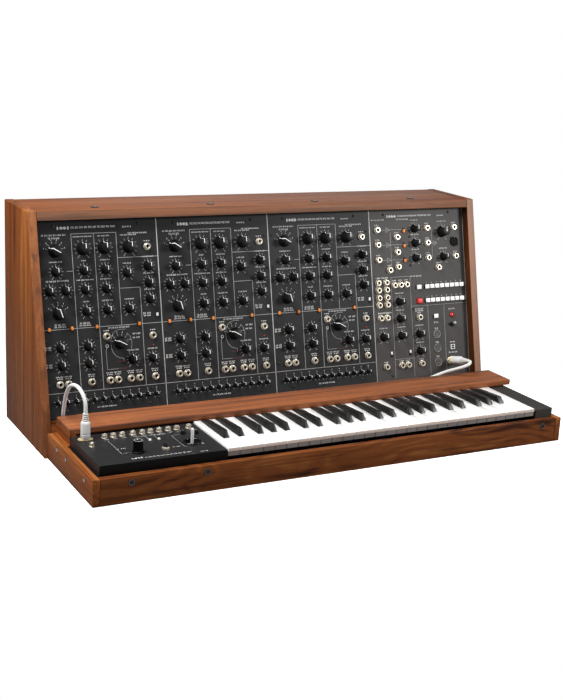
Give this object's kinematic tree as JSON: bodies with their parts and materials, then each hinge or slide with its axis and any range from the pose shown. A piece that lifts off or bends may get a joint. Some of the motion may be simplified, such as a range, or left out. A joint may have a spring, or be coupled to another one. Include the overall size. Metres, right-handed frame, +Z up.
{
  "type": "analog synthesizer",
  "caption": "Walnut-cased modular analog synthesizer: slanted module cabinet, separate keyboard unit with joystick, knobs and keys that move, linked by a white cable.",
  "frame": {"origin": "on the floor, under the middle of the box round the cabinet and the keyboard unit, without the link cable and its plugs", "axes": "+X to the player's right along the keys, -Y towards the player, +Z up"},
  "size_m": [0.9994, 0.5036, 0.4395],
  "materials": {
    "walnut": "oiled walnut, satin",
    "black_board": "board stained black, matt",
    "panel_black": "satin black paint on steel sheet",
    "knob_black": "satin black moulded plastic",
    "nickel": "nickel plate",
    "steel": "zinc plated steel",
    "circuit_green": "green solder mask",
    "key_white": "glossy white key tops",
    "key_black": "satin black key tops",
    "button_white": "white button caps",
    "button_red": "red button cap",
    "cable_white": "soft white cable and plug mouldings"
  },
  "bodies": {
    "synthesizer": {"cabinet_side_left": "walnut", "cabinet_side_right": "walnut", "cabinet_top": "walnut", "cabinet_front_rail": "walnut", "cabinet_base": "black_board", "cabinet_back": "black_board", "mains_inlet": "knob_black", "circuit_board": "circuit_green", "power_transformer": "steel", "module_1_panel": "panel_black", "module_2_panel": "panel_black", "module_3_panel": "panel_black", "module_4_panel": "panel_black", "keyboard_side_left": "walnut", "keyboard_side_right": "walnut", "keyboard_front_rail": "walnut", "keyboard_back_rail": "walnut", "keyboard_base": "black_board", "key_ledge": "walnut", "ledge_cheek": "walnut", "control_panel": "panel_black", "end_block": "panel_black", "key_bed": "steel", "lower_keys": "key_white", "upper_keys": "key_white", "keyboard_link_socket": "nickel", "cabinet_link_socket": "nickel", "keyboard_link_plug": "cable_white", "cabinet_link_plug": "cable_white", "link_cable": "cable_white"},
    "module_1_wave_selector": {"module_1_wave_selector": "knob_black"},
    "module_1_filter_knob": {"module_1_filter_knob": "knob_black"},
    "module_1_mode_selector": {"module_1_mode_selector": "knob_black"},
    "module_2_wave_selector": {"module_2_wave_selector": "knob_black"},
    "module_2_filter_knob": {"module_2_filter_knob": "knob_black"},
    "module_2_mode_selector": {"module_2_mode_selector": "knob_black"},
    "module_3_wave_selector": {"module_3_wave_selector": "knob_black"},
    "module_3_filter_knob": {"module_3_filter_knob": "knob_black"},
    "module_3_mode_selector": {"module_3_mode_selector": "knob_black"},
    "output_knob": {"output_knob": "knob_black"},
    "write_button": {"write_button": "button_white"},
    "step_button": {"step_button": "button_white"},
    "reset_button": {"reset_button": "button_red"},
    "power_switch": {"power_switch": "nickel"},
    "pitch_knob": {"pitch_knob": "knob_black"},
    "latch_button": {"latch_button": "knob_black"},
    "joystick_gimbal": {"joystick_gimbal": "steel"},
    "joystick": {"joystick": "nickel"},
    "key_c": {"key_c": "key_white"},
    "key_d": {"key_d": "key_white"},
    "key_e": {"key_e": "key_white"},
    "key_f": {"key_f": "key_white"},
    "key_g": {"key_g": "key_white"},
    "key_a": {"key_a": "key_white"},
    "key_b": {"key_b": "key_white"},
    "key_c_sharp": {"key_c_sharp": "key_black"},
    "key_d_sharp": {"key_d_sharp": "key_black"},
    "key_f_sharp": {"key_f_sharp": "key_black"},
    "key_g_sharp": {"key_g_sharp": "key_black"},
    "key_a_sharp": {"key_a_sharp": "key_black"}
  },
  "joints": [
    {"name": "module_1_wave_selector_turn", "type": "hinge", "parent": "synthesizer", "child": "module_1_wave_selector", "pos_m": [-0.44825, 0.10232, 0.36468], "axis": [0, -0.9725, 0.2328], "range_deg": [-120, 30]},
    {"name": "module_1_filter_knob_turn", "type": "hinge", "parent": "synthesizer", "child": "module_1_filter_knob", "pos_m": [-0.39325, 0.1029, 0.36712], "axis": [0, -0.9725, 0.2328], "range_deg": [-150, 150]},
    {"name": "module_1_mode_selector_turn", "type": "hinge", "parent": "synthesizer", "child": "module_1_mode_selector", "pos_m": [-0.33175, 0.06065, 0.1906], "axis": [0, -0.9725, 0.2328], "range_deg": [-120, 30]},
    {"name": "module_2_wave_selector_turn", "type": "hinge", "parent": "synthesizer", "child": "module_2_wave_selector", "pos_m": [-0.20825, 0.10232, 0.36468], "axis": [0, -0.9725, 0.2328], "range_deg": [-120, 30]},
    {"name": "module_2_filter_knob_turn", "type": "hinge", "parent": "synthesizer", "child": "module_2_filter_knob", "pos_m": [-0.15325, 0.1029, 0.36712], "axis": [0, -0.9725, 0.2328], "range_deg": [-150, 150]},
    {"name": "module_2_mode_selector_turn", "type": "hinge", "parent": "synthesizer", "child": "module_2_mode_selector", "pos_m": [-0.09175, 0.06065, 0.1906], "axis": [0, -0.9725, 0.2328], "range_deg": [-120, 30]},
    {"name": "module_3_wave_selector_turn", "type": "hinge", "parent": "synthesizer", "child": "module_3_wave_selector", "pos_m": [0.03175, 0.10232, 0.36468], "axis": [0, -0.9725, 0.2328], "range_deg": [-120, 30]},
    {"name": "module_3_filter_knob_turn", "type": "hinge", "parent": "synthesizer", "child": "module_3_filter_knob", "pos_m": [0.08675, 0.1029, 0.36712], "axis": [0, -0.9725, 0.2328], "range_deg": [-150, 150]},
    {"name": "module_3_mode_selector_turn", "type": "hinge", "parent": "synthesizer", "child": "module_3_mode_selector", "pos_m": [0.14825, 0.06065, 0.1906], "axis": [0, -0.9725, 0.2328], "range_deg": [-120, 30]},
    {"name": "output_knob_turn", "type": "hinge", "parent": "synthesizer", "child": "output_knob", "pos_m": [0.41975, 0.1036, 0.37003], "axis": [0, -0.9725, 0.2328], "range_deg": [-150, 150]},
    {"name": "write_button_press", "type": "slide", "parent": "synthesizer", "child": "write_button", "axis": [0, 0.9725, -0.2328], "range_m": [0, 0.0025], "stiffness_N_per_m": 400, "springref_m": -0.002},
    {"name": "step_button_press", "type": "slide", "parent": "synthesizer", "child": "step_button", "axis": [0, 0.9725, -0.2328], "range_m": [0, 0.0025], "stiffness_N_per_m": 400, "springref_m": -0.002},
    {"name": "reset_button_press", "type": "slide", "parent": "synthesizer", "child": "reset_button", "axis": [0, 0.9725, -0.2328], "range_m": [0, 0.0025], "stiffness_N_per_m": 400, "springref_m": -0.002},
    {"name": "power_switch_throw", "type": "hinge", "parent": "synthesizer", "child": "power_switch", "pos_m": [0.43525, 0.05754, 0.17335], "axis": [1, 0, 0], "range_deg": [0, 24]},
    {"name": "pitch_knob_turn", "type": "hinge", "parent": "synthesizer", "child": "pitch_knob", "pos_m": [-0.39125, -0.1918, 0.0656], "axis": [0, 0, 1], "range_deg": [-150, 150]},
    {"name": "latch_button_press", "type": "slide", "parent": "synthesizer", "child": "latch_button", "axis": [0, 0, -1], "range_m": [0, 0.003], "stiffness_N_per_m": 400, "springref_m": -0.002},
    {"name": "joystick_fore_aft", "type": "hinge", "parent": "synthesizer", "child": "joystick_gimbal", "pos_m": [-0.28275, -0.1768, 0.0586], "axis": [1, 0, 0], "range_deg": [-20, 20], "stiffness_Nm_per_rad": 0.05},
    {"name": "joystick_left_right", "type": "hinge", "parent": "joystick_gimbal", "child": "joystick", "pos_m": [-0.28275, -0.1768, 0.0586], "axis": [0, 1, 0], "range_deg": [-20, 20], "stiffness_Nm_per_rad": 0.05},
    {"name": "key_c_press", "type": "hinge", "parent": "synthesizer", "child": "key_c", "pos_m": [0.103, -0.0218, 0.053], "axis": [1, 0, 0], "range_deg": [0, 2.4], "stiffness_Nm_per_rad": 0.6, "springref_deg": -11.46},
    {"name": "key_d_press", "type": "hinge", "parent": "synthesizer", "child": "key_d", "pos_m": [0.1265, -0.0218, 0.053], "axis": [1, 0, 0], "range_deg": [0, 2.4], "stiffness_Nm_per_rad": 0.6, "springref_deg": -11.46},
    {"name": "key_e_press", "type": "hinge", "parent": "synthesizer", "child": "key_e", "pos_m": [0.15, -0.0218, 0.053], "axis": [1, 0, 0], "range_deg": [0, 2.4], "stiffness_Nm_per_rad": 0.6, "springref_deg": -11.46},
    {"name": "key_f_press", "type": "hinge", "parent": "synthesizer", "child": "key_f", "pos_m": [0.1735, -0.0218, 0.053], "axis": [1, 0, 0], "range_deg": [0, 2.4], "stiffness_Nm_per_rad": 0.6, "springref_deg": -11.46},
    {"name": "key_g_press", "type": "hinge", "parent": "synthesizer", "child": "key_g", "pos_m": [0.197, -0.0218, 0.053], "axis": [1, 0, 0], "range_deg": [0, 2.4], "stiffness_Nm_per_rad": 0.6, "springref_deg": -11.46},
    {"name": "key_a_press", "type": "hinge", "parent": "synthesizer", "child": "key_a", "pos_m": [0.2205, -0.0218, 0.053], "axis": [1, 0, 0], "range_deg": [0, 2.4], "stiffness_Nm_per_rad": 0.6, "springref_deg": -11.46},
    {"name": "key_b_press", "type": "hinge", "parent": "synthesizer", "child": "key_b", "pos_m": [0.244, -0.0218, 0.053], "axis": [1, 0, 0], "range_deg": [0, 2.4], "stiffness_Nm_per_rad": 0.6, "springref_deg": -11.46},
    {"name": "key_c_sharp_press", "type": "hinge", "parent": "synthesizer", "child": "key_c_sharp", "pos_m": [0.1115, -0.0218, 0.053], "axis": [1, 0, 0], "range_deg": [0, 2.6], "stiffness_Nm_per_rad": 0.6, "springref_deg": -11.46},
    {"name": "key_d_sharp_press", "type": "hinge", "parent": "synthesizer", "child": "key_d_sharp", "pos_m": [0.1415, -0.0218, 0.053], "axis": [1, 0, 0], "range_deg": [0, 2.6], "stiffness_Nm_per_rad": 0.6, "springref_deg": -11.46},
    {"name": "key_f_sharp_press", "type": "hinge", "parent": "synthesizer", "child": "key_f_sharp", "pos_m": [0.18125, -0.0218, 0.053], "axis": [1, 0, 0], "range_deg": [0, 2.6], "stiffness_Nm_per_rad": 0.6, "springref_deg": -11.46},
    {"name": "key_g_sharp_press", "type": "hinge", "parent": "synthesizer", "child": "key_g_sharp", "pos_m": [0.20875, -0.0218, 0.053], "axis": [1, 0, 0], "range_deg": [0, 2.6], "stiffness_Nm_per_rad": 0.6, "springref_deg": -11.46},
    {"name": "key_a_sharp_press", "type": "hinge", "parent": "synthesizer", "child": "key_a_sharp", "pos_m": [0.23625, -0.0218, 0.053], "axis": [1, 0, 0], "range_deg": [0, 2.6], "stiffness_Nm_per_rad": 0.6, "springref_deg": -11.46}
  ]
}
